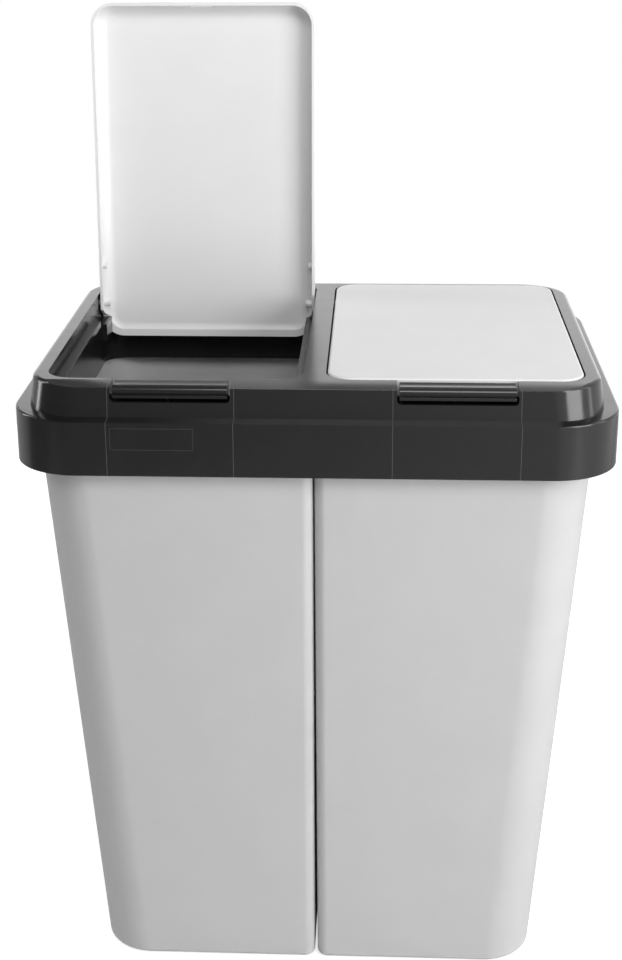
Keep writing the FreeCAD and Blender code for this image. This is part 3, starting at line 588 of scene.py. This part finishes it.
@dataclass
class Latch:
    """One dark push latch with its coil spring.

    The foot and the head are the lengths of spring that stay still on the collar and
    that move with the latch; they are not used.
    """

    side: Side
    edge: MouldEdge = MouldEdge(0.2 * MM)
    wire: float = 0.35 * MM
    turns: float = 5.0
    foot: float = 2.6 * MM
    head: float = 2.8 * MM

    def dress(self, nodes: dict, finish: bpy.types.Material,
              steel: bpy.types.Material) -> None:
        """Replace the latch's node and its spring's.

        Args:
            nodes: The frame's nodes.
            finish: The latch's plastic.
            steel: The spring's wire.
        """
        node = f"{self.side.word}_latch"
        piece = moulded_copy(nodes[node], f"{node}_shell", self.edge, finish)
        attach(piece, node)
        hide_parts(node)
        self.dress_spring(f"{node}_spring", steel)

    def dress_spring(self, node: str, steel: bpy.types.Material) -> None:
        """Wind the spring with closed ends in the place of its node.

        Args:
            node: The spring's node.
            steel: Its material.
        """
        low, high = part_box(node)
        middle = (low + high) / 2
        radius = (high.x - low.x) / 2 - self.wire
        height = high.z - low.z - 2 * self.wire
        coil = wind_coil(f"{node}_coil", Coil(radius, height, self.wire, self.turns),
                         Vector((middle.x, middle.y, low.z + self.wire)), steel)
        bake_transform(coil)
        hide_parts(node)


# --- camera, floor and light --------------------------------------------------


@dataclass(frozen=True)
class Viewpoint:
    """The photographer's place and aim, found from the object's edges."""

    place: Vector = Vector((0.0442, -1.2421, 0.82806))
    pitch: float = math.radians(-19.076)
    turn: float = math.radians(2.988)
    roll: float = math.radians(-0.395)
    lens_mm: float = 62.24
    sensor_mm: float = 36.0
    shift_x: float = 0.0168
    shift_y: float = -0.0437
    nearest: float = 0.01

    def build(self) -> None:
        """Add the camera and make it the scene's own."""
        data = bpy.data.cameras.new("photo_view")
        data.lens = self.lens_mm
        data.sensor_width = self.sensor_mm
        data.shift_x = self.shift_x
        data.shift_y = self.shift_y
        data.clip_start = self.nearest
        camera = bpy.data.objects.new("photo_view", data)
        bpy.context.scene.collection.objects.link(camera)
        aim = Euler((0, 0, self.turn)).to_matrix()
        aim = aim @ Euler((math.pi / 2 + self.pitch, 0, 0)).to_matrix()
        aim = aim @ Euler((0, 0, self.roll)).to_matrix()
        camera.matrix_world = aim.to_4x4()
        camera.location = self.place
        bpy.context.scene.camera = camera


@dataclass(frozen=True)
class Softbox:
    """One rectangular studio lamp, aimed at a point on the object, with its power in watts."""

    name: str
    place: tuple[float, float, float]
    aim: tuple[float, float, float]
    width: float
    height: float
    power: float

    def build(self) -> None:
        """Add the lamp."""
        data = bpy.data.lights.new(self.name, "AREA")
        data.shape = "RECTANGLE"
        data.size = self.width
        data.size_y = self.height
        data.energy = self.power
        lamp = bpy.data.objects.new(self.name, data)
        bpy.context.scene.collection.objects.link(lamp)
        toward = Vector(self.aim) - Vector(self.place)
        lamp.matrix_world = toward.to_track_quat("-Z", "Y").to_matrix().to_4x4()
        lamp.location = Vector(self.place)
        lamp.visible_camera = False


@dataclass(frozen=True)
class Studio:
    """The white room: a pale floor, even room light, a back wall in the gloss, and lamps.

    The wall's top, its ends and the right-hand turn are spans on one axis of a direction,
    from -1 to 1.  A gloss value is the room's brightness in a mirror.
    """

    floor_size: float = 2.4
    floor_colour: str = "#DADADA"
    floor_lift: float = 0.72
    room_colour: str = "#FFFFFF"
    room_seen: float = 1.0
    room_light: float = 0.25
    wall_gloss: float = 0.6
    wall_top: Span = (0.34, 0.46)
    wall_ends: Span = (-0.1, 0.3)
    side_gloss: Span = (0.2, 1.0)
    right_turn: Span = (-0.2, 0.34)
    lamps: tuple[Softbox, ...] = (
        Softbox("left_softbox", (-1.5, 0.25, 0.85), (0.0, 0.0, 0.4), 0.25, 1.3, 6.0),
        Softbox("right_softbox", (1.35, -1.1, 0.75), (0.0, 0.0, 0.35), 1.0, 1.2, 25.0),
        Softbox("right_strip", (1.5, -0.1, 0.85), (0.0, 0.0, 0.4), 0.3, 1.3, 3.0),
        Softbox("rear_softbox", (-0.1, 2.0, 0.72), (0.0, 0.0, 0.45), 3.0, 1.25, 11.0),
        Softbox("front_softbox", (0.2, -1.5, 1.9), (0.0, 0.1, 0.6), 1.0, 0.8, 15.0),
    )

    def build(self) -> None:
        """Build the floor, the room and the lamps."""
        self.build_floor()
        self.build_room()
        for lamp in self.lamps:
            lamp.build()

    def build_floor(self) -> None:
        """Lay the floor, which looks white to the camera and still takes shadows."""
        material = blank_material("matt_white_floor")
        tree = material.node_tree
        paper = add_node(tree, "ShaderNodeBsdfDiffuse", {"Color": linear(self.floor_colour)})
        ray = add_node(tree, "ShaderNodeLightPath").outputs
        lift = maths(tree, "MULTIPLY", ray["Is Camera Ray"], self.floor_lift)
        glow = add_node(tree, "ShaderNodeEmission", {"Strength": lift})
        both = add_node(tree, "ShaderNodeAddShader", {0: paper.outputs[0], 1: glow.outputs[0]})
        add_node(tree, "ShaderNodeOutputMaterial", {"Surface": both.outputs[0]})
        half = self.floor_size / 2
        mesh = bpy.data.meshes.new("floor")
        corners = [(-half, -half, 0), (half, -half, 0), (half, half, 0), (-half, half, 0)]
        mesh.from_pydata(corners, [], [(0, 1, 2, 3)])
        mesh.materials.append(material)
        floor = bpy.data.objects.new("floor", mesh)
        bpy.context.scene.collection.objects.link(floor)

    def build_gloss(self, tree: Tree) -> Socket:
        """Say how bright the room is where a gloss looks.

        The back wall is light up to a low height.  The rest is dim at the left and white
        at the right, where the large softbox stands.

        Args:
            tree: The world's tree.

        Returns:
            A socket with the brightness by direction.
        """
        way = add_node(tree, "ShaderNodeTexCoord").outputs["Generated"]
        across, along, up = add_node(tree, "ShaderNodeSeparateXYZ", {0: way}).outputs
        low = remap(tree, up, self.wall_top, (self.wall_gloss, 0.0), "SMOOTHSTEP")
        back = remap(tree, along, self.wall_ends, curve="SMOOTHSTEP")
        side = remap(tree, across, self.right_turn, self.side_gloss, "SMOOTHSTEP")
        return maths(tree, "MAXIMUM", maths(tree, "MULTIPLY", low, back), side)

    def build_room(self) -> None:
        """Light the room evenly, show it white, and mirror its walls in a gloss."""
        world = bpy.data.worlds.new("white_room")
        world.use_nodes = True
        tree = world.node_tree
        tree.nodes.clear()
        ray = add_node(tree, "ShaderNodeLightPath").outputs
        gloss = mix_values(tree, ray["Is Glossy Ray"], self.room_light, self.build_gloss(tree))
        seen = maths(tree, "MAXIMUM", ray["Is Camera Ray"], ray["Is Transmission Ray"])
        strength = mix_values(tree, seen, gloss, self.room_seen)
        room = add_node(tree, "ShaderNodeBackground",
                        {"Color": linear(self.room_colour), "Strength": strength})
        add_node(tree, "ShaderNodeOutputWorld", {"Surface": room.outputs[0]})
        bpy.context.scene.world = world


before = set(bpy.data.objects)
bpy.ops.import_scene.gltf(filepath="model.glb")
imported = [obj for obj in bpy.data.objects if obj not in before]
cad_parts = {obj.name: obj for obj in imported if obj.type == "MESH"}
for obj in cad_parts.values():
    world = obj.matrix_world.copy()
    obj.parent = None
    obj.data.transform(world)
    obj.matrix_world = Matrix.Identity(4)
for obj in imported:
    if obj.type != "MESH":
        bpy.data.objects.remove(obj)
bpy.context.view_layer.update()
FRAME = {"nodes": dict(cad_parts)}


def main() -> None:
    """Build every sub-assembly in order, then the camera and the studio."""
    logging.basicConfig(level=logging.INFO, format="%(message)s")
    bpy.context.scene.view_settings.view_transform = "Standard"
    nodes = FRAME["nodes"]
    tub_plastic = TUB_PLASTIC.build()
    flap_plastic = FLAP_PLASTIC.build()
    collar_plastic = COLLAR_PLASTIC.build()
    latch_plastic = LATCH_PLASTIC.build()
    steel = PLATED_WIRE.build()
    for side in Side:
        Tub(side).dress(nodes, tub_plastic)
    Collar().dress(nodes, collar_plastic)
    for side in Side:
        Flap(side).dress(nodes, flap_plastic)
        Latch(side).dress(nodes, latch_plastic, steel)
    Viewpoint().build()
    Studio().build()


if __name__ == "__main__":
    main()
